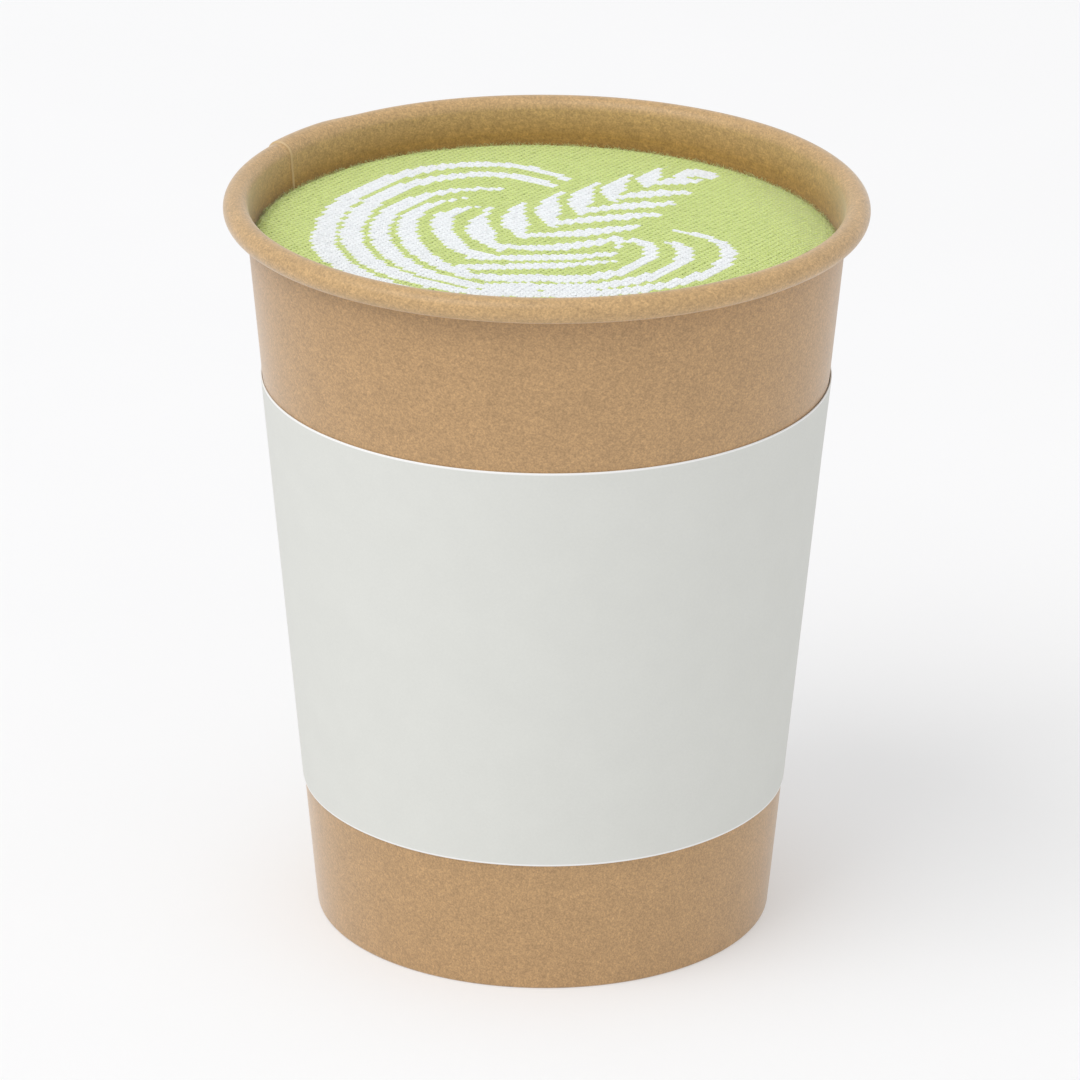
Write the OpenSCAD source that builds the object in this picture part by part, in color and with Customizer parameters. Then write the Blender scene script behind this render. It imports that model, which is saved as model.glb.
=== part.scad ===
// Paper drink cup with a sleeve, packed with a pair of knitted socks under a flat knitted face.
// +Z is up, the foot stands on Z = 0 and the cup's axis is the Z axis. -Y is the front.

/* [Cup] */
// Diameter over the rolled rim
rim_d = 90; // [80:0.5:110]
// Height to the crest of the rolled rim
cup_h = 106.5; // [85:0.5:135]
// Outer diameter at the foot
base_d = 65; // [54:0.5:78]
// Thickness of the side wall's board
board_t = 0.5; // [0.3:0.05:0.6]
// Diameter of the rolled rim's own section
roll_d = 3.5; // [2.8:0.1:4.2]
// How far the roll turns past its outermost point, in degrees
curl_deg = 115; // [60:5:120]

/* [Lap seam] */
// Width of the glued lap where the side wall's blank closes
lap_w = 9; // [5:0.5:14]
// Step left by the inner layer of the lap
lap_t = 0.4; // [0.2:0.05:0.6]
// Direction of the lap's free edge, in degrees from +X
lap_deg = 149; // [0:1:360]

/* [Foot] */
// Height of the base disc's underside above the foot
base_z = 7; // [5:0.5:12]
// Thickness of the base board
base_t = 0.45; // [0.3:0.05:0.6]
// Height of the hem folded up inside the foot
hem_h = 5.5; // [3.5:0.5:9]
// Radius of the base board's bend into its skirt
bend_r = 1; // [0.7:0.1:1.6]
// Thickness of the glue between the foot's layers
glue_t = 0.05; // [0.03:0.01:0.1]

/* [Sleeve] */
// Height of the sleeve's lower edge when it is seated
sleeve_z = 19.8; // [12:0.2:30]
// Height of the sleeve
sleeve_h = 60.9; // [40:0.1:75]
// Thickness of the sleeve's paper
sleeve_t = 0.3; // [0.2:0.05:0.5]
// Room between the side wall and the seated sleeve
sleeve_gap = 0.12; // [0.08:0.02:0.3]
// Width of the sleeve's glued lap, at the back
sleeve_lap_w = 10; // [6:0.5:16]

/* [Socks] */
// Depth of the knitted face below the rim's crest
face_depth = 6.5; // [4:0.5:12]
// Thickness of the knitted fabric
knit_t = 1.8; // [1.2:0.1:2.5]
// Room between the sock and the nearest thing beside it
sock_gap = 0.3; // [0.2:0.05:0.6]
// Radius of the bundle's rounded edges
edge_r = 2.4; // [1.8:0.1:3]
// Radius of the opening left where the sock is tucked under
tuck_r = 17; // [10:0.5:22]
// Thickness of the round card under the knitted face
card_t = 1; // [0.6:0.1:1.6]
// Radius of the rolled second sock
roll_sock_r = 27.5; // [24:0.5:29]

/* [Hidden] */
$fn = 180;

kraft = "#bd9a75";
kraft_base = "#c3a27e";
sleeve_white = "#dcdedb";
card_grey = "#b9b3a8";
matcha = "#c3d58c";
knit_white = "#e8ebe9";

arc_step = 15;
// How far the outer end of the sleeve's lap is trimmed back from its edges
lap_inset = 0.2;
roll_r = roll_d / 2;
roll_cr = rim_d / 2 - roll_r;
roll_cz = cup_h - roll_r;
foot_r = base_d / 2;
slope = (roll_cr - roll_r + board_t - foot_r) / roll_cz;
fold_r = board_t * 0.7;
hem_inset = base_t + 2 * glue_t;
base_top = base_z + base_t;
lap_turn = lap_w / (PI * (roll_cr - roll_r)) * 180;
sleeve_lap_turn = sleeve_lap_w / (PI * wall_out(sleeve_z)) * 180;
face_z = cup_h - face_depth;
bundle_z = base_top + sock_gap;
card_z = face_z - knit_t - glue_t - card_t;

// Radius of the side wall's outer and inner surface at height z
function wall_out(z) = foot_r + slope * z;
function wall_in(z) = wall_out(z) - board_t;
// Radius of the sock bundle's side at height z
function sock_out(z) = wall_in(z) - lap_t - sock_gap;
// Points on an arc of radius r around [cx, cz], from angle a to angle b
function arc(cx, cz, r, a, b) = let (n = ceil(abs(b - a) / arc_step))
    [for (i = [0:n]) let (t = a + (b - a) * i / n) [cx + r * cos(t), cz + r * sin(t)]];

// Section of the side wall: the taper, the curl over the rim, and the hem folded up inside the foot
module wall_section() {
    hem_out = wall_in(hem_h) - hem_inset;
    hem_in = wall_in(0) - hem_inset - board_t;
    polygon(concat(
        arc(wall_out(0) - fold_r, fold_r, fold_r, -90, 0),
        arc(roll_cr, roll_cz, roll_r - board_t, 180, -curl_deg),
        arc(roll_cr, roll_cz, roll_r, -curl_deg, 180),
        [[wall_in(board_t), board_t],
         [wall_in(board_t) - hem_inset, board_t],
         [hem_out, hem_h],
         [hem_out - board_t, hem_h]],
        arc(hem_in + fold_r, fold_r, fold_r, 180, 270)));
}

// Section of the lap's inner layer, from half way into the board to its free face
module lap_section() {
    low = base_top + glue_t;
    mid_r = roll_r - board_t / 2;
    polygon(concat(
        [[wall_out(low) - board_t / 2, low]],
        arc(roll_cr, roll_cz, mid_r, 180, -curl_deg + arc_step / 2),
        arc(roll_cr, roll_cz, roll_r + lap_t, -curl_deg + arc_step / 2, 180),
        [[wall_in(low) - lap_t, low]]));
}

module cup_sidewall() {
    color(kraft) union() {
        rotate_extrude() wall_section();
        rotate([0, 0, lap_deg - lap_turn]) rotate_extrude(angle = lap_turn) lap_section();
    }
}

// Round board with its edge turned down into a skirt between the side wall and the hem
module cup_base() {
    skirt_z = board_t + glue_t;
    skirt_out = wall_in(skirt_z) - glue_t;
    bend_out = wall_in(base_top - bend_r) - glue_t;
    color(kraft_base) rotate_extrude() polygon(concat(
        [[0, base_z], [0, base_top]],
        arc(bend_out - bend_r, base_top - bend_r, bend_r, 90, 0),
        [[skirt_out, skirt_z],
         [skirt_out - base_t, skirt_z]],
        arc(bend_out - bend_r, base_top - bend_r, bend_r - base_t, 0, 90)));
}

// Section of the sleeve between two distances from the side wall, with its edges drawn in by inset
module sleeve_section(inner, outer, inset) {
    low = sleeve_z + inset;
    top = sleeve_z + sleeve_h - inset;
    polygon([
        [wall_out(low) + inner, low],
        [wall_out(low) + outer, low],
        [wall_out(top) + outer, top],
        [wall_out(top) + inner, top]]);
}

module cup_sleeve() {
    face = sleeve_gap + sleeve_t;
    color(sleeve_white) union() {
        rotate_extrude() sleeve_section(sleeve_gap, face, 0);
        rotate([0, 0, 90 - sleeve_lap_turn / 2]) rotate_extrude(angle = sleeve_lap_turn)
            sleeve_section(face - sleeve_t / 2, face + sleeve_t, lap_inset);
    }
}

module card_disc() {
    color(card_grey) translate([0, 0, card_z])
        cylinder(h = card_t, r = sock_out(card_z) - knit_t - glue_t);
}

// Patterned foot over the card, leg down the sides of the bundle, ends tucked under
module latte_sock() {
    low = bundle_z + knit_t;
    high = face_z - knit_t;
    color(matcha) rotate_extrude() polygon(concat(
        [[tuck_r, bundle_z]],
        arc(sock_out(bundle_z) - edge_r, bundle_z + edge_r, edge_r, -90, 0),
        arc(sock_out(face_z - edge_r) - edge_r, face_z - edge_r, edge_r, 0, 90),
        [[0, face_z],
         [0, high],
         [sock_out(high) - knit_t, high],
         [sock_out(low) - knit_t, low],
         [tuck_r, low]]));
}

// The other sock, rolled up on itself
module second_sock() {
    low = bundle_z + knit_t + glue_t;
    high = card_z - glue_t;
    color(knit_white) rotate_extrude() polygon(concat(
        [[0, low]],
        arc(roll_sock_r - edge_r, low + edge_r, edge_r, -90, 0),
        arc(roll_sock_r - edge_r, high - edge_r, edge_r, 0, 90),
        [[0, high]]));
}

cup_sidewall();
cup_base();
cup_sleeve();
card_disc();
latte_sock();
second_sock();
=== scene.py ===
"""Kraft paper cup with a sleeve, packed with knitted socks under a flat latte-pattern face.

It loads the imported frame, adds the cup's pieces, the knit and the studio.
"""
import math

import bmesh
import bpy
import numpy as np
from bpy.props import FloatProperty, FloatVectorProperty, IntProperty, PointerProperty
from mathutils import Matrix, Vector


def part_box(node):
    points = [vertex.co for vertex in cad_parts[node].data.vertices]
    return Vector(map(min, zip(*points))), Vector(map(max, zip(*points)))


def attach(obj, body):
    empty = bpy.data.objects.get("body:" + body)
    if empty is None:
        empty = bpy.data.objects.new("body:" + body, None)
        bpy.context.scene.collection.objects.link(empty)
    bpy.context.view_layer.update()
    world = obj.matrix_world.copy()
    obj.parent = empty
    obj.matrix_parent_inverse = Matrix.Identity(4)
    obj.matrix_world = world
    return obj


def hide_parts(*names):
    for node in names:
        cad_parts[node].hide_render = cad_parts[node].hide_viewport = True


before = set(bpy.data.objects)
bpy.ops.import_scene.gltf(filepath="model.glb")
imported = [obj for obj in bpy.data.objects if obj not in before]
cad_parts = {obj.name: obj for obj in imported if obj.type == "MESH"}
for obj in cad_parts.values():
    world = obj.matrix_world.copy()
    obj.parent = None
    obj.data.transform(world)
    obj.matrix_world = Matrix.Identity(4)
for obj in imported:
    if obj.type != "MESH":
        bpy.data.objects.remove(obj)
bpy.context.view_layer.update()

bl_info = {
    "name": "Latte sock cup",
    "version": (1, 0, 0),
    "blender": (4, 5, 0),
    "location": "View3D > Sidebar > Sock cup",
    "description": "Builds a paper cup packed with knitted socks",
    "category": "Add Mesh",
}

MM = 0.001
RIM_COAT = 0.35  # value of the coat attribute over the rim, where it is 1 down the inside
HAIR_TURN = 5e-4  # radians between two close columns of points at a free edge of the lap
LAP_GIVE = 0.8  # share of the lap's step by which the sock beside it gives way
SIDE_SLOPE = 0.09  # how much narrower the bundle gets for each unit of depth
SLANT = 1.4  # rows that the arm of a drawn V climbs over one column's width


# ---------------------------------------------------------------- sizes taken from the frame

def node_radius(node):
    """Half of a round node's width along X."""
    low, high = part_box(node)
    return (high.x - low.x) / 2


def node_span(node):
    """Lowest and highest Z of a node."""
    low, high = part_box(node)
    return low.z, high.z


# ---------------------------------------------------------------- what a user would change

def srgb(code):
    """An sRGB hex colour as linear red, green and blue."""
    parts = [int(code[i:i + 2], 16) / 255 for i in (1, 3, 5)]
    return tuple(p / 12.92 if p <= 0.04045 else ((p + 0.055) / 1.055) ** 2.4 for p in parts)


def length(name, description, default):
    """A length property, in metres."""
    return FloatProperty(name=name, description=description, default=default, unit="LENGTH", precision=5)


def turn(name, description, degrees):
    """An angle property, whose default is given in degrees."""
    return FloatProperty(name=name, description=description, default=math.radians(degrees), unit="ROTATION")


def paint(name, description, code):
    """A colour property, whose default is an sRGB hex value."""
    return FloatVectorProperty(name=name, description=description, default=srgb(code), subtype="COLOR",
                               min=0, max=1)


class CupSizes(bpy.types.PropertyGroup):
    """Sizes of the cup's boards and of the sleeve."""
    rim_radius: length("Rim radius", "From the axis to the outside of the rolled rim",
                       node_radius("cup_sidewall"))
    foot_radius: length("Foot radius", "From the axis to the outside of the foot", 32.5 * MM)
    board: length("Board", "Thickness of the side wall's board", 0.5 * MM)
    roll: length("Roll", "Diameter of the rolled rim's section", 3.5 * MM)
    roll_lean: length("Roll lean", "How unevenly the roll was curled", 0.07 * MM)
    oval: length("Oval", "How much the rim is pressed in at the front and the back", 0.5 * MM)
    oval_fade: length("Oval fade", "How far below the roll that fades out", 14 * MM)
    unevenness: length("Unevenness", "How far the side wall strays from its cone", 0.06 * MM)
    curl: turn("Curl", "How far the roll turns past its outermost point", 115)
    lap: length("Lap", "Step left by the inner layer of the lap seam", 0.3 * MM)
    lap_width: length("Lap width", "Width of the glued lap seam", 9 * MM)
    lap_place: turn("Lap place", "Direction of the lap's free edge, from +X", 151.5)
    lap_ramp: length("Lap ramp", "Length over which the board rises into the lap", 8 * MM)
    hem: length("Hem", "Height of the hem folded up inside the foot", 5.5 * MM)
    base_board: length("Base board", "Thickness of the base board", 0.45 * MM)
    glue: length("Glue", "Thickness of the glue between the foot's layers", 0.05 * MM)
    base_bend: length("Base bend", "Radius of the base board's bend into its skirt", 1 * MM)
    sleeve_paper: length("Sleeve paper", "Thickness of the sleeve's paper", 0.2 * MM)
    sleeve_gap: length("Sleeve gap", "Room between the side wall and the seated sleeve", 0.03 * MM)
    sleeve_lap: length("Sleeve lap", "Width of the sleeve's glued lap", 10 * MM)
    cut_edge: length("Cut edge", "Width of the pale line along the sleeve's edges", 0.22 * MM)
    sleeve_proud: length("Sleeve proud", "How far the sleeve's top edge stands off at one side", 0.1 * MM)


class KnitSizes(bpy.types.PropertyGroup):
    """Sizes of the knitted face and of the rolled sock."""
    wale: length("Wale", "Distance between the columns of stitches", 0.9 * MM)
    course: length("Course", "Distance between the rows of stitches", 0.72 * MM)
    grain: turn("Grain", "Direction of the columns of stitches, from +X", 57)
    yarn: length("Yarn", "Width of one leg of a stitch", 0.65 * MM)
    milk_yarn: length("Milk yarn", "Width of one leg of a white stitch, whose yarn is fuller", 0.74 * MM)
    edge: length("Edge", "Radius over which the face turns down", 1.0 * MM)
    skirt: length("Skirt", "How far the stitches run down the side", 4 * MM)
    dome: length("Dome", "How much the face rises to its middle", 0.25 * MM)
    rise: length("Rise", "How much higher the stitches stand than the face under them", 0.3 * MM)
    tilt: turn("Tilt", "How far the face leans down to the right and the back", 0.7)
    knit: length("Knit", "Thickness of the knitted fabric", 1.4 * MM)
    corner: length("Corner", "Radius of the bundle's lower edge", 5 * MM)
    side_room: length("Side room", "Room between the cup and the sock above that edge", 0.7 * MM)
    rib: length("Rib", "Distance between the ribs of the leg", 3.4 * MM)
    rib_depth: length("Rib depth", "How far a rib stands from the middle of its wave", 0.32 * MM)
    slack: length("Slack", "How far the leg hangs in from the cup", 0.8 * MM)
    pleat: length("Pleat", "Half the depth of the pleats under the bundle", 0.605 * MM)
    tuck_radius: length("Tuck radius", "Radius of the opening where the sock is tucked under", 17 * MM)
    tuck_bend: length("Tuck bend", "Radius of the bend at the edge of that opening", 1.3 * MM)
    roll_start: length("Roll start", "Radius at which the rolled sock starts", 3.4 * MM)
    roll_layer: length("Roll layer", "Thickness of the second sock laid flat", 3.6 * MM)
    roll_pitch: length("Roll pitch", "Distance between the turns of the rolled sock", 4.8 * MM)
    fibres: IntProperty(name="Fibres", description="Number of stray fibres on the face", default=13000, min=0)
    seed: IntProperty(name="Seed", description="Start of the random numbers", default=7, min=0)


class Finishes(bpy.types.PropertyGroup):
    """Colours of the materials."""
    kraft: paint("Kraft", "Unbleached kraft board", "#b49064")
    kraft_inside: paint("Kraft inside", "Kraft board under its polyethylene film", "#a57f43")
    # Paler than the kraft: partly the board stretched over the roll, partly a painted highlight along the
    # roll.
    kraft_rim_with_highlight: paint("Kraft rim", "Kraft board where it is rolled over the rim", "#bc9a6b")
    cut_board: paint("Cut board", "Raw cut edge of the board", "#cfb285")
    sleeve: paint("Sleeve", "Uncoated off-white paper", "#d7d8d3")
    cut_paper: paint("Cut paper", "Cut edge of the sleeve's paper", "#efefee")
    grey_card: paint("Grey card", "Recycled grey board", "#aaa498")
    matcha: paint("Matcha", "Matcha green cotton", "#cddd8a")
    milk: paint("Milk", "Milk white cotton", "#eef2f5")
    floor: paint("Floor", "Pale studio floor", "#cdcdce")


class Studio(bpy.types.PropertyGroup):
    """Camera and light."""
    lens: FloatProperty(name="Lens", description="Focal length in millimetres", default=231.8)
    distance: length("Distance", "From the camera to the point it looks at", 985.8 * MM)
    elevation: turn("Elevation", "How far the camera looks down", 22.1)
    roll: turn("Roll", "How far the camera is turned about its own axis", 0.35)
    aim_x: length("Aim X", "Sideways place of the point the camera looks at", -0.68 * MM)
    aim_z: length("Aim Z", "Height of the point the camera looks at", 54.8 * MM)
    key_power: FloatProperty(name="Key power", description="Power of the key light in watts", default=60)
    fill_power: FloatProperty(name="Fill power", description="Power of the fill light in watts", default=2)
    sky: FloatProperty(name="Sky", description="Strength of the even light from all round", default=0.76)


class LatteCup(bpy.types.PropertyGroup):
    """Everything that a user would change."""
    cup: PointerProperty(type=CupSizes)
    knit: PointerProperty(type=KnitSizes)
    finish: PointerProperty(type=Finishes)
    studio: PointerProperty(type=Studio)


def settings():
    """The scene's settings for this object."""
    return bpy.context.scene.latte_cup


# ---------------------------------------------------------------- surfaces

def smoothstep(x):
    """0 below 0, 1 above 1, and 3x^2 - 2x^3 between."""
    x = np.clip(x, 0, 1)
    return x * x * (3 - 2 * x)


def arc(across, up, radius, start, end, count):
    """Points on an arc: the centre plus radius times (cos, sin) of evenly spaced angles in degrees."""
    t = np.radians(np.linspace(start, end, count))
    return np.stack([across + radius * np.cos(t), up + radius * np.sin(t)], axis=1)


def line(a, b, count):
    """Evenly spaced points from a to b, both included."""
    t = np.linspace(0, 1, count)[:, None]
    return np.array(a) * (1 - t) + np.array(b) * t


def profile_normals(profile, closed):
    """Unit normals of a profile, to the right of its direction: its tangent turned a quarter turn."""
    if closed:
        tangent = np.roll(profile, -1, 0) - np.roll(profile, 1, 0)
    else:
        tangent = np.gradient(profile, axis=0)
    normal = np.stack([tangent[:, 1], -tangent[:, 0]], axis=1)
    return normal / np.maximum(np.linalg.norm(normal, axis=1), 1e-12)[:, None]


def walk(points):
    """Distance along a line of points from its first one."""
    return np.concatenate([[0], np.cumsum(np.linalg.norm(np.diff(points, axis=0), axis=1))])


def revolved(radius, height, turns):
    """A surface of revolution: (r cos a, r sin a, z), where r and z may vary with the angle a."""
    a = turns[:, None]
    return np.stack([radius * np.cos(a), radius * np.sin(a), np.broadcast_to(height, radius.shape)], axis=2)


def mesh_object(name, points, faces, uv, attributes, weld=False):
    """An object in the scene from arrays: corner numbers for each face, and a UV pair for each of those.

    attributes maps a name to one value for each point. Weld merges points that lie in one place.
    """
    mesh = bpy.data.meshes.new(name)
    mesh.vertices.add(points.size // 3)
    mesh.vertices.foreach_set("co", points.reshape(-1).astype(np.float32))
    mesh.loops.add(faces.size)
    mesh.loops.foreach_set("vertex_index", faces.reshape(-1).astype(np.int32))
    mesh.polygons.add(len(faces))
    mesh.polygons.foreach_set("loop_start", np.arange(0, faces.size, faces.shape[1], dtype=np.int32))
    mesh.update(calc_edges=True)
    if uv is not None:
        layer = mesh.uv_layers.new(name="UVMap")
        layer.data.foreach_set("uv", uv.reshape(-1).astype(np.float32))
    for key, values in attributes.items():
        layer = mesh.attributes.new(key, "FLOAT", "POINT")
        layer.data.foreach_set("value", np.ascontiguousarray(values, np.float32).reshape(-1))
    if weld:
        work = bmesh.new()
        work.from_mesh(mesh)
        bmesh.ops.remove_doubles(work, verts=work.verts, dist=1e-7)
        work.to_mesh(mesh)
        work.free()
    mesh.validate()
    mesh.polygons.foreach_set("use_smooth", np.ones(len(mesh.polygons), bool))
    made = bpy.data.objects.new(name, mesh)
    bpy.context.scene.collection.objects.link(made)
    return made


def surface(name, points, wrap_u, wrap_v, uv=None, attributes=None, weld=False):
    """A mesh of quads over a grid of points, joined end to end along a direction that wraps.

    uv is one (u, v) pair for each grid corner, with one more row or column where the grid wraps.
    """
    nu, nv = points.shape[:2]
    i, j = np.meshgrid(np.arange(nu - (not wrap_u)), np.arange(nv - (not wrap_v)), indexing="ij")
    i, j = i.ravel(), j.ravel()
    corners_i = np.stack([i, i + 1, i + 1, i], axis=1)
    corners_j = np.stack([j, j, j + 1, j + 1], axis=1)
    faces = (corners_i % nu) * nv + corners_j % nv
    corner_uv = None if uv is None else uv[corners_i, corners_j]
    return mesh_object(name, points, faces, corner_uv, attributes or {}, weld)


def grid_uv(u, v):
    """UV in metres at each corner of a grid: u runs along its first direction, and v along its second."""
    return np.stack(np.broadcast_arrays(u[:, None], v[None, :]), axis=2)


def revolved_uv(turns, profile, radius):
    """UV of a closed profile turned round the axis: along the circumference, and along the profile."""
    loop = np.concatenate([profile, profile[:1]])
    return grid_uv(np.append(turns, turns[0] + 2 * np.pi) * radius, walk(loop))


# ---------------------------------------------------------------- materials

class Recipe:
    """A material being built.

    A Map Range node's inputs are the value, the range it comes from and the range it goes to. A Mix
    node's are the factor, then two numbers as 2 and 3 or two colours as 6 and 7, and its mixed colour
    is output 2.
    """

    def __init__(self, name):
        self.material = bpy.data.materials.new(name)
        self.material.use_nodes = True
        self.tree = self.material.node_tree
        self.shader = self.tree.nodes["Principled BSDF"]

    def add(self, kind, inputs=None, **values):
        """Adds one node with its settings and links, and returns its outputs.

        inputs maps a socket to a constant or to another node's output.
        """
        made = self.tree.nodes.new("ShaderNode" + kind)
        for key, value in values.items():
            setattr(made, key, value)
        for key, value in (inputs or {}).items():
            self.join(value, made.inputs[key])
        return made.outputs

    def join(self, value, socket):
        """Links an output to a socket, or sets the socket to a constant."""
        if isinstance(value, bpy.types.NodeSocket):
            self.tree.links.new(value, socket)
        else:
            socket.default_value = value

    def cloudy(self, place, size, detail, stretch=(1, 1, 1)):
        """A cloudy pattern, about 0.3 to 0.7, whose features are size metres across, drawn out by stretch.

        The pattern is cut on a slant, which keeps its own grid from showing.
        """
        slanted = self.add("Mapping", {
            "Vector": place, "Scale": [1 / (size * s) for s in stretch],
            "Rotation": (0.6, 0.5, 0.4), "Location": (0.3, 0.7, 0.4)})["Vector"]
        return self.add("TexNoise", {
            "Vector": slanted, "Scale": 1.0, "Detail": detail, "Roughness": 0.6})["Fac"]

    def toned(self, tone, *steps):
        """A tone times each step's tone: a pattern, its range, and how dark and light that range gets."""
        for pattern, low, high, dark, light in steps:
            step = self.add("MapRange", {0: pattern, 1: low, 2: high, 3: dark, 4: light})[0]
            tone = self.add("Math", {0: tone, 1: step}, operation="MULTIPLY")[0]
        return tone

    def finish(self, colour, tone, inputs, cut=None, bump=None):
        """Gives the shader colour times tone and its other inputs, and returns the material.

        cut is the colour where the cut attribute marks a raw edge. bump is a pattern, how strongly it
        shows, and its height in metres.
        """
        shade = self.add("Mix", {0: 1.0, 6: colour, 7: tone}, data_type="RGBA", blend_type="MULTIPLY")[2]
        if cut:
            raw = self.add("Attribute", attribute_name="cut")["Fac"]
            shade = self.add("Mix", {0: raw, 6: shade, 7: cut}, data_type="RGBA")[2]
        self.join(shade, self.shader.inputs["Base Color"])
        if bump:
            normal = self.add("Bump", dict(zip(("Height", "Strength", "Distance"), bump)))[0]
            self.join(normal, self.shader.inputs["Normal"])
        for key, value in inputs.items():
            self.join(value, self.shader.inputs[key])
        return self.material


def rgba(colour):
    """A colour with full alpha."""
    return (*colour[:3], 1)


def kraft_board(name, outside, rim, inside, cut):
    """Unbleached kraft board: warm brown, mottled, with short fibres and a few dark flecks.

    The coat attribute marks a thin polyethylene film. A third of it marks the paler rim, partly the
    board stretched over the roll and partly a painted highlight along the roll, and all of it the deep
    golden inside, where the film's streaks show. The cut attribute marks raw pale edges. The fibres are
    drawn 0.3 mm long, coarser than the real ones, which are too fine to show.
    """
    recipe = Recipe(name)
    uv = recipe.add("TexCoord")["UV"]
    coat = recipe.add("Attribute", attribute_name="coat")["Fac"]
    cloud = recipe.cloudy(uv, 4 * MM, 3)
    mottle = recipe.cloudy(uv, 0.6 * MM, 2)
    fibres = recipe.cloudy(uv, 0.27 * MM, 2)
    flecks = recipe.cloudy(uv, 1.0 * MM, 2)
    streaks = recipe.cloudy(uv, 0.45 * MM, 2, (7, 1, 1))
    stain = recipe.add("MapRange", {0: flecks, 1: 0.3, 2: 0.7, 3: 0.9, 4: 1.1})[0]
    blotch = recipe.toned(stain, (streaks, 0.3, 0.7, 0.9, 1.1))
    grain = recipe.add("Mix", {0: coat, 2: 1.0, 3: blotch})[0]
    tone = recipe.toned(grain, (cloud, 0.3, 0.7, 0.95, 1.05), (mottle, 0.3, 0.7, 0.88, 1.12),
                        (fibres, 0.3, 0.7, 0.78, 1.22), (flecks, 0.7, 0.8, 1.0, 0.8))
    # Towards the rim the colour turns to the rim's paler one, which carries a painted highlight along the
    # roll.
    over_rim_and_highlight = recipe.add("MapRange", {0: coat, 1: 0, 2: RIM_COAT, 3: 0, 4: 1})[0]
    down_inside = recipe.add("MapRange", {0: coat, 1: RIM_COAT, 2: 1, 3: 0, 4: 1})[0]
    skin = recipe.add("Mix", {0: over_rim_and_highlight, 6: rgba(outside), 7: rgba(rim)}, data_type="RGBA")[2]
    skin = recipe.add("Mix", {0: down_inside, 6: skin, 7: rgba(inside)}, data_type="RGBA")[2]
    roughness = recipe.add("MapRange", {0: coat, 1: RIM_COAT, 2: 1, 3: 0.46, 4: 0.68})[0]
    return recipe.finish(skin, tone, {"Roughness": roughness, "Sheen Weight": 0.38, "Sheen Roughness": 0.4},
                         cut=rgba(cut), bump=(fibres, 0.35, 0.05 * MM))


def uncoated_paper(name, colour, cut):
    """Uncoated cartridge paper: off-white and matt, with a faint tooth and hardly any tone of its own."""
    recipe = Recipe(name)
    uv = recipe.add("TexCoord")["UV"]
    tooth = recipe.cloudy(uv, 0.35 * MM, 3)
    cloud = recipe.cloudy(uv, 6 * MM, 2)
    tooth_tone = recipe.add("MapRange", {0: tooth, 1: 0.3, 2: 0.7, 3: 0.985, 4: 1.015})[0]
    tone = recipe.toned(tooth_tone, (cloud, 0.3, 0.7, 0.99, 1.01))
    return recipe.finish(rgba(colour), tone, {"Roughness": 0.8}, cut=rgba(cut), bump=(tooth, 0.25, 0.03 * MM))


def grey_board(name, colour):
    """Recycled grey board: dull grey with pale and dark fibres pressed into it."""
    recipe = Recipe(name)
    place = recipe.add("TexCoord")["Object"]
    fibres = recipe.cloudy(place, 0.3 * MM, 4, (4, 1, 1))
    tone = recipe.add("MapRange", {0: fibres, 1: 0.3, 2: 0.7, 3: 0.82, 4: 1.15})[0]
    return recipe.finish(rgba(colour), tone, {"Roughness": 0.85}, bump=(fibres, 0.3, 0.05 * MM))


def cotton_yarn(name, colour):
    """Combed cotton yarn: matt and soft, with twisted fibres along each leg and a dusty sheen.

    The tone attribute makes each stitch a little lighter or darker than its neighbours, and carries
    painted shade: a leg is darker where it dives under the next one and on its side that faces the
    next column. Its fibres are drawn 0.07 mm thick, coarser than real ones.
    """
    recipe = Recipe(name)
    uv = recipe.add("TexCoord")["UV"]
    stitch_tone = recipe.add("Attribute", attribute_name="tone")["Fac"]
    fibres = recipe.cloudy(uv, 0.07 * MM, 2, (5, 1, 1))
    tone = recipe.toned(stitch_tone, (fibres, 0.3, 0.7, 0.93, 1.05))
    return recipe.finish(rgba(colour), tone, {
        "Roughness": 0.9,
        "Specular IOR Level": 0.25,
        "Subsurface Weight": 0.35,
        "Subsurface Radius": (1, 1, 1),
        "Subsurface Scale": 0.3 * MM,
        "Sheen Weight": 0.25,
        "Sheen Roughness": 0.5}, bump=(fibres, 0.4, 0.04 * MM))


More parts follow.
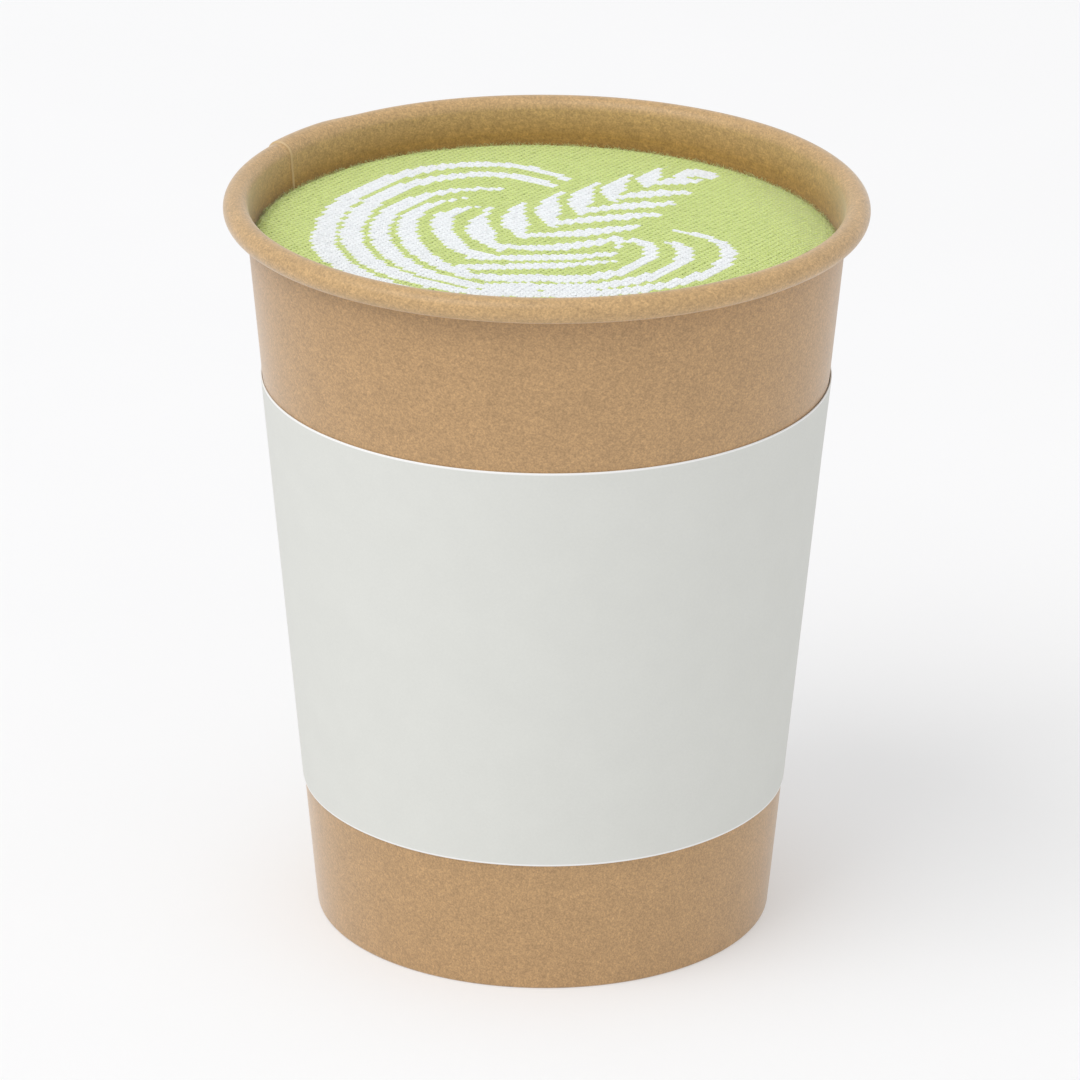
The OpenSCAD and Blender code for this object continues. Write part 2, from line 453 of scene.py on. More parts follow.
def knitted_cotton(name, ground, figure, wale, course):
    """Plain knitted cotton seen from a little further off: columns of small Vs, drawn by their height, which
    bumps the surface and paints shade into its low parts.

    Within a column, a V's arms slant up from its middle, so their height is a sine of the row less
    SLANT times the distance from the middle. It drops to nothing in the middle and between columns.
    The milk attribute marks where the white yarn runs, and the tone attribute carries painted light and
    shade: in the folds, on the ribs and on the fabric between the stitches.
    """
    recipe = Recipe(name)
    uv = recipe.add("TexCoord")["UV"]
    tone = recipe.add("Attribute", attribute_name="tone")["Fac"]
    milk = recipe.add("Attribute", attribute_name="milk")["Fac"]
    parts = recipe.add("SeparateXYZ", {"Vector": uv})
    column = recipe.add("Math", {0: parts["X"], 1: wale}, operation="DIVIDE")[0]
    cell = recipe.add("Math", {0: column}, operation="FRACT")[0]
    centred = recipe.add("Math", {0: cell, 1: 0.5}, operation="SUBTRACT")[0]
    arm = recipe.add("Math", {0: centred}, operation="ABSOLUTE")[0]
    row = recipe.add("Math", {0: parts["Y"], 1: course}, operation="DIVIDE")[0]
    slanted = recipe.add("Math", {0: arm, 1: -SLANT, 2: row}, operation="MULTIPLY_ADD")[0]
    wave = recipe.add("Math", {0: slanted, 1: 2 * math.pi}, operation="MULTIPLY")[0]
    ridge = recipe.add("Math", {0: wave}, operation="SINE")[0]
    crests = recipe.add("MapRange", {0: ridge, 1: -1, 2: 1, 3: 0.55, 4: 1})[0]
    relief = recipe.toned(crests, (arm, 0, 0.22, 0, 1), (arm, 0.5, 0.3, 0, 1))
    # Painted shade: the colour darkens where the relief is low, between the columns, in the Vs' middles and
    # between the rows.
    shade = recipe.toned(tone, (relief, 0, 1, 0.72, 1.04))
    skin = recipe.add("Mix", {0: milk, 6: rgba(ground), 7: rgba(figure)}, data_type="RGBA")[2]
    return recipe.finish(skin, shade, {
        "Roughness": 0.92,
        "Specular IOR Level": 0.2,
        "Sheen Weight": 0.3,
        "Sheen Roughness": 0.5}, bump=(relief, 0.7, 0.2 * MM))


def matt_floor(name, colour):
    """Matt studio floor that glows a little: pale, even and seamless, with soft shadows."""
    recipe = Recipe(name)
    place = recipe.add("TexCoord")["Object"]
    cloud = recipe.cloudy(place, 60 * MM, 2)
    tone = recipe.add("MapRange", {0: cloud, 1: 0.3, 2: 0.7, 3: 0.995, 4: 1.005})[0]
    return recipe.finish(rgba(colour), tone, {
        "Roughness": 0.9, "Emission Color": (1, 1, 1, 1), "Emission Strength": 0.285})


def own_material(name, make, *details):
    """The scene's material of that name, made the first time it is asked for."""
    return bpy.data.materials.get(name) or make(name, *details)


def kraft_material():
    """The side wall's and base's kraft board."""
    finish = settings().finish
    return own_material("unbleached_kraft", kraft_board, finish.kraft, finish.kraft_rim_with_highlight,
                        finish.kraft_inside, finish.cut_board)


def finished(piece, body, material):
    """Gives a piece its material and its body."""
    piece.data.materials.append(material)
    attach(piece, body)
    return piece


# ---------------------------------------------------------------- the cup's own geometry

def roll_centre():
    """Radius and height of the middle of the rolled rim's section."""
    cup = settings().cup
    crest = node_span("cup_sidewall")[1]
    return cup.rim_radius - cup.roll / 2, crest - cup.roll / 2


def wall_out(height):
    """Radius of the side wall's outer face: a straight line from the foot to the rim."""
    cup = settings().cup
    radius, top = roll_centre()
    rim = radius - cup.roll / 2 + cup.board
    return cup.foot_radius + (rim - cup.foot_radius) * height / top


def wall_in(height):
    """Radius of the side wall's inner face."""
    return wall_out(height) - settings().cup.board


def lap_turns():
    """Angle of the lap's free inner edge, of its free outer edge, and of the start of its ramp."""
    cup = settings().cup
    radius = roll_centre()[0] - cup.roll / 2
    inner = cup.lap_place
    outer = inner - cup.lap_width / radius
    return inner, outer, outer - cup.lap_ramp / radius


def lap_inside(turns):
    """How far the inner face stands in: a ramp, the lap's full step, and a sharp edge at its end."""
    inner, outer, start = lap_turns()
    rise = smoothstep((turns - start) / (outer - start))
    return settings().cup.lap * rise * (turns <= inner)


def lap_outside(turns):
    """How far the outer face is sunk beside the lap's outer edge, where the board dips under it."""
    _, outer, start = lap_turns()
    sink = smoothstep((turns - start) / (outer - start))
    return settings().cup.lap * sink * (turns < outer)


def turns_with(count, marks, beside, extra=()):
    """Even angles round the cup and the extra ones, with a few close ones beside each mark instead."""
    step = 2 * np.pi / count
    even = np.arange(count) * step
    clear = np.min(np.abs(even[:, None] - marks[None, :]), axis=1) > step * 0.4
    return np.unique(np.concatenate([even[clear], *[marks + gap for gap in beside], extra]))


def pressed(turns, height):
    """How far the rim is pressed in: the sine squared of the angle, fading out below the roll."""
    cup = settings().cup
    fade = smoothstep((height - roll_centre()[1]) / cup.oval_fade + 1)
    return cup.oval * np.sin(turns) ** 2 * fade


def wander(turns, seed, waves, size):
    """A gentle unevenness round the cup: a sum of a few waves with random phases, of about that size."""
    rng = np.random.default_rng(seed)
    number = np.arange(2, 2 + waves)
    phase = rng.uniform(0, 2 * np.pi, waves)
    weight = rng.uniform(0.4, 1, waves) / np.sqrt(number)
    total = (weight * np.cos(number * turns[..., None] + phase)).sum(-1)
    return size * total / np.abs(weight).sum()


def near_rim(height):
    """0 well below the rolled rim and 1 at it."""
    reach = 12 * MM
    return smoothstep((height - roll_centre()[1] + reach) / reach)


def wall_wander(turns, height):
    """How the side wall strays from its cone: a few waves that fade out at the foot and at the rim."""
    above_foot = smoothstep(height / (15 * MM))
    stray = wander(turns, seed=5, waves=9, size=settings().cup.unevenness)[:, None]
    return stray * above_foot * (1 - near_rim(height))


def fold_radius():
    """Radius of the fold at the foot, where the board turns into the hem."""
    return settings().cup.board * 0.7


def wall_profiles():
    """The side wall's section in three runs, which close into a loop.

    The first goes up the outer face and round the inside of the curl, the second back round the
    outside of the curl and down the inner face, and the third up the hem and down its far side.
    """
    cup = settings().cup
    centre, top = roll_centre()
    roll, board, fold = cup.roll / 2, cup.board, fold_radius()
    curl = math.degrees(cup.curl)
    inset = cup.base_board + 2 * cup.glue
    hem_out = wall_in(cup.hem) - inset
    hem_in = wall_in(0) - inset - board
    outer = np.concatenate([
        arc(wall_out(0) - fold, fold, fold, -90, 0, 7),
        line((wall_out(fold), fold), (wall_out(top), top), 30)[1:-1],
        arc(centre, top, roll - board, 180, -curl, 30)])
    inner = np.concatenate([
        arc(centre, top, roll, -curl, 180, 64),
        line((wall_in(top), top), (wall_in(board), board), 30)[1:]])
    hem = np.concatenate([
        line((wall_in(board) - inset, board), (hem_out, cup.hem), 6),
        [(hem_out - board, cup.hem)],
        arc(hem_in + fold, fold, fold, 180, 270, 7)])
    return outer, inner, hem


class LATTE_CUP_OT_sidewall(bpy.types.Operator):
    """Add the side wall: one lapped board with a rolled rim and a hem folded up inside the foot"""
    bl_idname = "latte_cup.sidewall"
    bl_label = "Side wall"

    def execute(self, context):
        """The section is turned round the axis, and each point moves along its own normal by the lap's step.

        The wall and the roll then wander a little, and the rim is pressed in.
        """
        cup = settings().cup
        centre, top = roll_centre()
        roll, fold = cup.roll / 2, fold_radius()
        outer, inner, hem = wall_profiles()
        section = np.concatenate([outer, inner, hem])
        normal = profile_normals(section, closed=True)
        place = np.arange(len(section))
        on_outer = 1.0 * (place < len(outer))
        on_inner = 1.0 * (place >= len(outer)) * (place < len(outer) + len(inner))
        lifted = smoothstep((section[:, 1] - fold) / (3 * MM))
        above_base = smoothstep((section[:, 1] - node_span("cup_base")[1]) / (0.5 * MM))
        inner_edge, outer_edge, ramp_start = lap_turns()
        turns = turns_with(420, np.array([inner_edge, outer_edge]), HAIR_TURN * np.array([-2, -1, 1, 2]),
                           np.linspace(ramp_start, outer_edge, 12)[1:-1])
        step = on_inner * above_base * lap_inside(turns)[:, None] \
            - on_outer * lifted * lap_outside(turns)[:, None]
        radius = section[:, 0] + normal[:, 0] * step
        height = section[:, 1] + normal[:, 1] * step
        roll_only = np.clip((section[:, 1] - top + roll) / (2 * roll), 0, 1)
        leaning = wander(turns, seed=3, waves=7, size=cup.roll_lean)[:, None]
        rising = wander(turns, seed=11, waves=9, size=cup.roll_lean)[:, None]
        radius = radius + leaning * near_rim(section[:, 1]) + wall_wander(turns, section[:, 1])
        height = height + rising * roll_only
        radius = radius - pressed(turns[:, None], height)
        points = revolved(radius, height, turns)
        film = smoothstep((top + 0.2 * roll - section[:, 1]) / (0.9 * roll)) * (section[:, 0] < centre)
        coat = np.broadcast_to(on_inner * (RIM_COAT + (1 - RIM_COAT) * film), radius.shape)
        near = 1.4 * HAIR_TURN
        raw = (np.abs(turns - inner_edge) < near)[:, None] * on_inner * above_base \
            + (np.abs(turns - outer_edge) < near)[:, None] * on_outer
        curl_end = (place == len(outer) - 1) | (place == len(outer))
        raw = np.maximum(raw, curl_end[None, :])
        uv = revolved_uv(turns, section, radius=40 * MM)
        made = surface("side_wall", points, True, True, uv, {"coat": coat, "cut": raw})
        finished(made, "cup", kraft_material())
        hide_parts("cup_sidewall")
        return {"FINISHED"}


class LATTE_CUP_OT_base(bpy.types.Operator):
    """Add the base: a round board with its edge turned down between the side wall and the hem"""
    bl_idname = "latte_cup.base"
    bl_label = "Base board"

    def execute(self, context):
        """The profile runs out along the top, down the skirt and back under, and is turned round the axis.

        The disc sags to its middle by one less the square of its share of the radius.
        """
        cup = settings().cup
        low, high = node_span("cup_base")
        board, bend, glue = cup.base_board, cup.base_bend, cup.glue
        out = wall_in(high - bend) - glue
        skirt = wall_in(low) - glue
        under = high - board
        topside = np.concatenate([
            line((0, high), (out - bend, high), 14)[:-1],
            arc(out - bend, high - bend, bend, 90, 0, 10)])
        profile = np.concatenate([
            topside,
            line((skirt, low), (skirt - board, low), 2),
            arc(out - bend, high - bend, bend - board, 0, 90, 10),
            line((out - bend, under), (0, under), 14)[1:]])
        turns = np.linspace(0, 2 * np.pi, 180, endpoint=False)
        flat = profile[:, 0] / out
        deepest = 0.25 * MM
        sag = deepest * (1 - flat ** 2) * (flat < 1)
        radius = np.broadcast_to(profile[:, 0], (len(turns), len(profile)))
        height = np.broadcast_to(profile[:, 1] - sag, radius.shape)
        points = revolved(radius, height, turns)
        uv = np.stack([points[:, :, 0], points[:, :, 1]], axis=2)
        uv = np.concatenate([uv, uv[:1]])
        coat = np.broadcast_to(np.arange(len(profile)) < len(topside), radius.shape)
        made = surface("base_board", points[::-1], True, False, uv[::-1],
                       {"coat": coat, "cut": np.zeros(radius.shape)}, weld=True)
        finished(made, "cup", kraft_material())
        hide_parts("cup_base")
        return {"FINISHED"}


class LATTE_CUP_OT_sleeve(bpy.types.Operator):
    """Add the sleeve: a paper band on the taper, lapped and glued at the back"""
    bl_idname = "latte_cup.sleeve"
    bl_label = "Sleeve"

    def execute(self, context):
        """Two cones a paper's thickness apart, joined by cut edges, with one step of paper at the lap.

        The rows beside each edge are close together, so that its pale line stays narrow. The band
        follows the side wall's unevenness, and its top edge stands off a little on the right.
        """
        cup = settings().cup
        low, high = node_span("cup_sleeve")
        paper, gap = cup.sleeve_paper, cup.sleeve_gap
        soft = 0.05 * MM
        pale, plain = cup.cut_edge, cup.cut_edge + 0.12 * MM
        heights = np.concatenate([[low + soft, low + pale, low + plain],
                                  np.linspace(low + 1 * MM, high - 1 * MM, 26),
                                  [high - plain, high - pale, high - soft]])
        up = np.stack([wall_out(heights) + gap + paper, heights], axis=1)
        down = np.stack([wall_out(heights) + gap, heights], axis=1)[::-1]
        bottom = np.array([[wall_out(low) + gap + soft, low], [wall_out(low) + gap + paper - soft, low]])
        top = np.array([[wall_out(high) + gap + paper - soft, high], [wall_out(high) + gap + soft, high]])
        section = np.concatenate([up, top, down, bottom])
        outside = np.concatenate([np.ones(len(up) + 1), np.zeros(len(down) + 2), [1]])
        half = cup.sleeve_lap / wall_out(low) / 2
        back = np.pi / 2
        beside = 1.4 * HAIR_TURN
        turns = turns_with(360, np.array([back - half, back + half]), (-beside, beside))
        ramp = 5 * MM / wall_out(low)
        over = smoothstep((turns - back + half + ramp) / ramp) * (turns < back + half)
        from_proud = (turns - math.radians(6) + np.pi) % (2 * np.pi) - np.pi
        proud = cup.sleeve_proud * np.exp(-from_proud ** 2 / 0.3)
        proud_depth = 16 * MM
        near_top = smoothstep((section[:, 1] - high + proud_depth) / proud_depth) ** 2
        radius = section[:, 0] + over[:, None] * paper * outside + proud[:, None] * near_top
        loose = np.abs(wander(turns, seed=21, waves=6, size=0.03 * MM))[:, None]
        radius = radius + wall_wander(turns, section[:, 1]) + loose
        cut = np.zeros(len(section))
        cut[[0, 1, -2, -1]] = 1
        cut[len(up) - 2:len(up) + 2] = 1
        points = revolved(radius, section[:, 1], turns)
        uv = revolved_uv(turns, section, radius=38 * MM)
        made = surface("sleeve_band", points, True, True, uv, {"cut": np.broadcast_to(cut, radius.shape)})
        finish = settings().finish
        material = own_material("uncoated_paper", uncoated_paper, finish.sleeve, finish.cut_paper)
        finished(made, "sleeve", material)
        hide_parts("cup_sleeve")
        return {"FINISHED"}


class LATTE_CUP_OT_card(bpy.types.Operator):
    """Finish the round card under the knitted face, whose shape is the frame's own"""
    bl_idname = "latte_cup.card"
    bl_label = "Card disc"

    def execute(self, context):
        """The frame's disc keeps its shape and gets a grey board material."""
        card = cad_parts["card_disc"]
        material = own_material("grey_board", grey_board, settings().finish.grey_card)
        card.data.materials.clear()
        card.data.materials.append(material)
        return {"FINISHED"}


# ---------------------------------------------------------------- the knit

def oval(centre, across, up, start, end, count, square=1.0):
    """Points on an ellipse from one angle to another, in degrees; square draws its sides in."""
    t = np.radians(np.linspace(start, end, count))
    cos, sin = np.cos(t), np.sin(t)
    return np.stack([centre[0] + across * np.sign(cos) * np.abs(cos) ** square, centre[1] + up * sin], axis=1)


def bowed(a, b, shift, count=30):
    """A quadratic curve from a to b whose middle control point is moved by shift."""
    a, b = np.array(a), np.array(b)
    t = np.linspace(0, 1, count)[:, None]
    return (1 - t) ** 2 * a + 2 * t * (1 - t) * ((a + b) / 2 + np.array(shift)) + t * t * b


def swell(count, start, middle, end, peak=0.5):
    """Half widths along a stroke: from start up to middle at the peak, then down to end."""
    t = np.linspace(0, 1, count)
    return np.where(t < peak, start + (middle - start) * smoothstep(t / peak),
                    middle + (end - middle) * smoothstep((t - peak) / (1 - peak)))


def milk_strokes():
    """The white figure as strokes: rows of (x, y) along each, and its half width at each, in millimetres.

    Five rings open to the right: each is an ellipse from its upper end round its left side, and a
    deeper one from there to its lowest point. The lowest points run on to the right into three hooks
    that climb and curl back. Six leaves climb a slanting spine, each hung from its tip and bowed to
    the left, and from the foot of each leaf a thin stripe runs on to the right.
    """
    strokes = []
    for i, (tall, end, thin) in enumerate(((33, 54, 0.85), (26.6, 56, 0.95), (18.4, 84, 0.55),
                                           (13, 107, 0.3), (7.2, 104, 0.3))):
        wide = 23 - 3.85 * i - 0.9 * (i == 4)
        middle = (-8, -2.5 + 1.8 * i)
        deep = (24.6, 23.2, 22.4, 20.7, 14.2)[i]
        upper = oval(middle, wide, tall, end, 180, 50)
        right = upper[:, 0] > middle[0]
        upper[right, 0] = middle[0] + (upper[right, 0] - middle[0]) * 0.8
        lower = oval(middle, wide, deep, 180, 268, 50, 1.25)
        path = np.concatenate([upper, lower[1:]])
        strokes.append((path, swell(len(path), thin, 1.66 - 0.1 * i + 0.2 * (i == 4), 1.1, 0.5)))
    for low, centre, reach, rise, stop, half in ((-24, 14.5, 10.7, 9.3, 70, 1.05),
                                                 (-21.3, 14.5, 4.8, 4.2, 62, 1.15),
                                                 (-17.8, 12, 2.4, 4.2, 165, 0.95)):
        right = centre + reach
        bend = -6 + 0.1 * (low + 24) - 0.5 * (stop > 100)
        run = line((-8, low), (3, low), 12)
        climb = oval((3, bend), right - 3, bend - low, 270, 360, 50, 1.25)
        curl = oval((centre, bend), reach, rise, 0, stop, 24)
        path = np.concatenate([run[:-1], climb, curl[1:]])
        strokes.append((path, swell(len(path), 1.35, half, 0.4, 0.75)))
    strokes.append((bowed((-8.4, -27.1), (9, -25.2), (0, -1)), swell(30, 1.1, 1.0, 0.3)))
    strokes.append((bowed((-10.4, -9.5), (9, -7.4), (1, -1.9)), swell(30, 0.9, 1.25, 0.8)))
    strokes.append((bowed((-12, -13.6), (9.2, -10.2), (1.5, -1.9)), swell(30, 0.9, 1.1, 0.5)))
    for k in range(6):
        foot = np.array([-6.4 + 3.2 * k + 0.2 * k * k, -6.5 + 4.7 * k + 0.2 * k * k])
        tip = np.array([-7.8 + 5 * k, 11.1 + 3.9 * k])
        far = np.array([10 + 2.7 * k - 0.08 * k * k, -0.8 + 5.1 * k])
        leaf = bowed(tip, foot, (-2.2 - 2.4 / (1 + k) ** 1.5, 0))
        strokes.append((leaf, swell(30, 0.3, 1.9 - 0.07 * k, 0.6, 0.6)))
        root = foot + (0.9, 1.4)
        sag = min(-3.8 + 2.2 * k, 0.8)
        strokes.append((bowed(root, far, (0, sag)), swell(30, 0.9, 1.3, 0.8, 0.6)))
    strokes.append((oval((21.3, 27.2), 1.9, 1.2, 175, -15, 20), swell(20, 1.2, 1.5, 1.3)))
    return strokes


def is_milk(x, y):
    """True where a point of the face, in metres from its middle, lies within a stroke of the figure."""
    spots = np.stack([np.ravel(x), np.ravel(y)], axis=1) / MM
    inside = np.zeros(len(spots), bool)
    for path, half in milk_strokes():
        low, high = path.min(0) - 3, path.max(0) + 3
        near = np.flatnonzero(((spots > low) & (spots < high)).all(1))
        gap = np.linalg.norm(spots[near, None, :] - path[None, :, :], axis=2)
        inside[near] |= (gap < half).any(1)
    return inside.reshape(np.shape(x))


def face_size():
    """Height of the knitted face, and the radius that it fills at its edge."""
    top = node_span("latte_sock")[1]
    return top, wall_in(top - settings().knit.edge) - 0.25 * MM


def on_face(x, y, lift):
    """Lays flat points on the face: straight in the middle, over a rounded edge, then down the side.

    The distance from the middle is kept as distance along the profile, and lift is height above it.
    """
    knit = settings().knit
    top, reach = face_size()
    away = np.hypot(x, y)
    turns = np.arctan2(y, x)
    flat = reach - knit.edge - LAP_GIVE * lap_inside(turns % (2 * np.pi)) - pressed(turns, top)
    bend = np.clip((away - flat) / knit.edge, 0, np.pi / 2)
    over = np.maximum(away - flat - knit.edge * np.pi / 2, 0)
    radius = np.minimum(away, flat) + (knit.edge + lift) * np.sin(bend) - over * SIDE_SLOPE
    dome = knit.dome * (1 - np.clip(away / flat, 0, 1) ** 2)
    lean = math.tan(knit.tilt) * (-x - 0.3 * y)
    height = top + knit.rise - knit.edge + (knit.edge + lift) * np.cos(bend) - over + dome + lean
    return np.stack([radius * np.cos(turns), radius * np.sin(turns), height], axis=-1)


def leg_template():
    """One leg of a stitch: a leaf of five-sided rings that swells in the middle and closes at both ends.

    Returns points as (along, across, up) in shares of the leg's length and width, and triangles.
    """
    sides, rings = 5, (0.18, 0.5, 0.82)
    angle = np.arange(sides) * 2 * np.pi / sides + np.pi / 2
    points = [(-0.5, 0, -0.25)]
    for share in rings:
        size = 0.5 * math.sin(math.pi * share) ** 0.6
        bow = 0.9 * math.sin(math.pi * share) - 0.45
        points += [(share - 0.5, size * math.cos(a), 0.5 * size * math.sin(a) + bow * 0.3) for a in angle]
    points.append((0.5, 0, -0.25))
    faces = [(0, 1 + s, 1 + (s + 1) % sides) for s in range(sides)]
    for r in range(len(rings) - 1):
        for s in range(sides):
            a, b = 1 + r * sides + s, 1 + r * sides + (s + 1) % sides
            faces += [(a, b + sides, b), (a, a + sides, b + sides)]
    last = len(points) - 1
    faces += [(last, last - sides + (s + 1) % sides, last - sides + s) for s in range(sides)]
    return np.array(points), np.array(faces)


def stitch_places():
    """Places of the stitches across and along their columns: a plain grid over the face and its skirt."""
    knit = settings().knit
    _, reach = face_size()
    limit = reach - knit.edge + knit.edge * np.pi / 2 + knit.skirt
    columns, rows = (np.arange(-math.ceil(limit / pitch), math.ceil(limit / pitch) + 1) * pitch
                     for pitch in (knit.wale, knit.course))
    across, along = (places.ravel() for places in np.meshgrid(columns, rows))
    keep = np.hypot(across, along) < limit
    return across[keep], along[keep]


def turn_to_grain(across, along):
    """Face coordinates of a point given across and along the columns of stitches."""
    grain = settings().knit.grain
    x = along * math.cos(grain) + across * math.sin(grain)
    y = along * math.sin(grain) - across * math.cos(grain)
    return x, y


def repeated(name, points, faces, uv, tone):
    """One mesh of many copies of a small closed shape, whose faces are triangles.

    points is (copies, corners, 3), uv is (copies, corners, 2) and tone is (copies, corners).
    """
    copies, size = points.shape[:2]
    all_faces = (faces[None] + (np.arange(copies) * size)[:, None, None]).reshape(-1, 3)
    return mesh_object(name, points, all_faces, uv.reshape(-1, 2)[all_faces], {"tone": tone})


def stitches(name, across, along, width, groove_shade, dive_shade, rng):
    """Lays two leaning legs at each stitch, with a little disorder, and puts them on the face.

    A leg is longer than its row is high, so its ends go under the stitches before and after it.
    Of the two shade amounts, the first darkens the side of a leg that faces the next column and the
    second darkens its ends, both as painted shade.
    """
    knit = settings().knit
    template, faces = leg_template()
    reach = knit.course * 1.75
    from_middle = knit.wale * 0.235
    count = len(across)
    lean = math.radians(24)
    # Painted shade: each leg is darker towards its ends, where it goes under the next stitch.
    root = 1.03 - dive_shade * np.abs(template[:, 0]) ** 2
    parts, tone = [], []
    for side in (-1, 1):
        angle = side * (lean + rng.normal(0, 0.06, count))[:, None]
        size = (1 + rng.normal(0, 0.06, count))[:, None]
        run = template[:, 0] * reach * size
        aside = template[:, 1] * width * size
        up = template[:, 2] * width + rng.normal(0, 0.02 * MM, count)[:, None]
        a = across[:, None] + side * from_middle + run * np.sin(angle) + aside * np.cos(angle)
        b = along[:, None] + run * np.cos(angle) - aside * np.sin(angle)
        x, y = turn_to_grain(a, b)
        parts.append(on_face(x, y, up))
        # Painted shade on the side of each leg that faces the next column.
        outer = np.clip(side * template[:, 1], 0, 1)
        tone.append((1 + rng.normal(0, 0.025, count))[:, None] * root * (1 - groove_shade * outer))
    uv_one = np.stack([template[:, 0] * reach, template[:, 1] * width], axis=1)
    uv = uv_one[None] + rng.uniform(0, 0.02, (count * 2, 1, 2))
    return repeated(name, np.concatenate(parts), faces, uv, np.concatenate(tone))


def loose_fibres(name, x, y, at_edge, rng):
    """Fine stray fibres over the knit: thin three-sided cones that start in the yarn and lift away."""
    count = len(x)
    heading = rng.uniform(0, 2 * np.pi, count)[:, None]
    reach = rng.uniform(0.35, 1.0, count)[:, None] * MM
    rise = (rng.uniform(0.1, 0.4, count) + at_edge * rng.uniform(0, 0.5, count))[:, None] * MM
    corner = np.arange(3) * 2 * np.pi / 3
    thick = 0.02 * MM
    share = np.array([0, 0, 0, 0.55, 0.55, 0.55, 1])
    aside = np.append(np.tile(thick * np.cos(corner), 2), 0)
    up = np.append(np.tile(thick * np.sin(corner), 2), 0)
    bend = rng.normal(0, 0.25, count)[:, None] * share ** 2
    px = x[:, None] + reach * share * np.cos(heading + bend) - aside * np.sin(heading)
    py = y[:, None] + reach * share * np.sin(heading + bend) + aside * np.cos(heading)
    points = on_face(px, py, 0.12 * MM + rise * share + up)
    faces = np.array([(0, 2, 1), (0, 1, 4), (0, 4, 3), (1, 2, 5), (1, 5, 4), (2, 0, 3), (2, 3, 5),
                      (3, 4, 6), (4, 5, 6), (5, 3, 6)])
    uv = np.stack([share * MM, aside], axis=1)[None] + rng.uniform(0, 0.02, (count, 1, 2))
    return repeated(name, points, faces, uv, np.full((count, len(share)), 1.04))


def matcha_yarn():
    """Green cotton yarn."""
    return own_material("matcha_cotton", cotton_yarn, settings().finish.matcha)


def milk_yarn():
    """White cotton yarn."""
    return own_material("milk_cotton", cotton_yarn, settings().finish.milk)


def knit_material():
    """The knitted fabric under and below the stitches."""
    finish, knit = settings().finish, settings().knit
    return own_material("knitted_cotton", knitted_cotton, finish.matcha, finish.milk, knit.wale, knit.course)


def sock_foot():
    """Radius of the bundle's side where it starts to bend under."""
    knit = settings().knit
    low = node_span("latte_sock")[0]
    return wall_in(low + knit.corner) - knit.side_room


def sock_outline():
    """Profile of the sock's outside, from its tucked end, along the underside and up, to the face's middle.

    It has a bend at the opening, a flat underside, a round lower edge, a straight side and a tight bend
    into the flat face.
    """
    knit = settings().knit
    low = node_span("latte_sock")[0]
    top, reach = face_size()
    foot, corner = sock_foot(), knit.corner
    side_top = top - knit.edge - 1 * MM
    return np.concatenate([
        line((0, top), (reach - knit.edge, top), 64)[:-1],
        arc(reach - knit.edge, top - knit.edge, knit.edge, 90, 0, 8),
        line((reach - 0.09 * MM, side_top), (foot, low + corner), 36),
        arc(foot - corner, low + corner, corner, 0, -90, 12)[1:],
        line((foot - corner, low), (knit.tuck_radius, low), 16)[1:],
        arc(knit.tuck_radius, low + knit.tuck_bend, knit.tuck_bend, -90, -190, 8)[1:]])[::-1]


def sock_folds(outline, turns):
    """How far each point of the outside moves along its normal, and its tone of painted light and shade.

    Ribs are cosine waves round the side that fade in below the face. Slack is a slow wave that draws
    the side in. Pleats are an uneven cosine wave that deepens under the bundle. The tone is painted
    shade in the pleats' hollows, and painted light and shade on the ribs' crests and troughs.
    """
    knit = settings().knit
    low = node_span("latte_sock")[0]
    foot = sock_foot()
    below = face_size()[0] - outline[:, 1]
    rib_count, pleat_count = round(2 * np.pi * foot / knit.rib), 16
    wave = np.cos(rib_count * turns)[:, None]
    pleats = np.cos(pleat_count * turns + 0.8 * np.sin(3 * turns))[:, None]
    fade = smoothstep((below - 4 * MM) / (9 * MM))
    under = smoothstep((foot - 2 * MM - outline[:, 0]) / (10 * MM)) * (outline[:, 1] < low + knit.corner)
    slack = np.abs(wander(turns, seed=31, waves=10, size=knit.slack))[:, None]
    slack = slack * smoothstep((below - 8 * MM) / (40 * MM))
    sunk = 0.1 * MM * smoothstep(below / MM)
    lift = (1 - under) * (fade * knit.rib_depth * wave - slack) - sunk - under * (1 + pleats) * knit.pleat
    # Painted shade in the pleats' hollows, painted light on the ribs' crests and painted shade in their
    # troughs.
    tone = (1 - 0.125 * under * (1 + pleats)) * (1 + 0.07 * fade * wave)
    return lift, tone


def lay_stitches(rng):
    """Lays the stitches of the face: the green ones in quarters, to keep each mesh small, and the white."""
    knit = settings().knit
    across, along = stitch_places()
    x, y = turn_to_grain(across, along)
    white, front, left = is_milk(x, y), y < 0, x < 0
    laid = []
    for name, quarter in (("front_left", front & left), ("front_right", front & ~left),
                          ("back_left", ~front & left), ("back_right", ~front & ~left)):
        chosen = ~white & quarter
        piece = stitches("matcha_stitches_" + name, across[chosen], along[chosen], knit.yarn,
                         groove_shade=0.4, dive_shade=0.5, rng=rng)
        laid.append(finished(piece, "sock_bundle", matcha_yarn()))
    piece = stitches("milk_stitches", across[white], along[white], knit.milk_yarn,
                     groove_shade=0.08, dive_shade=0.2, rng=rng)
    laid.append(finished(piece, "sock_bundle", milk_yarn()))
    return laid


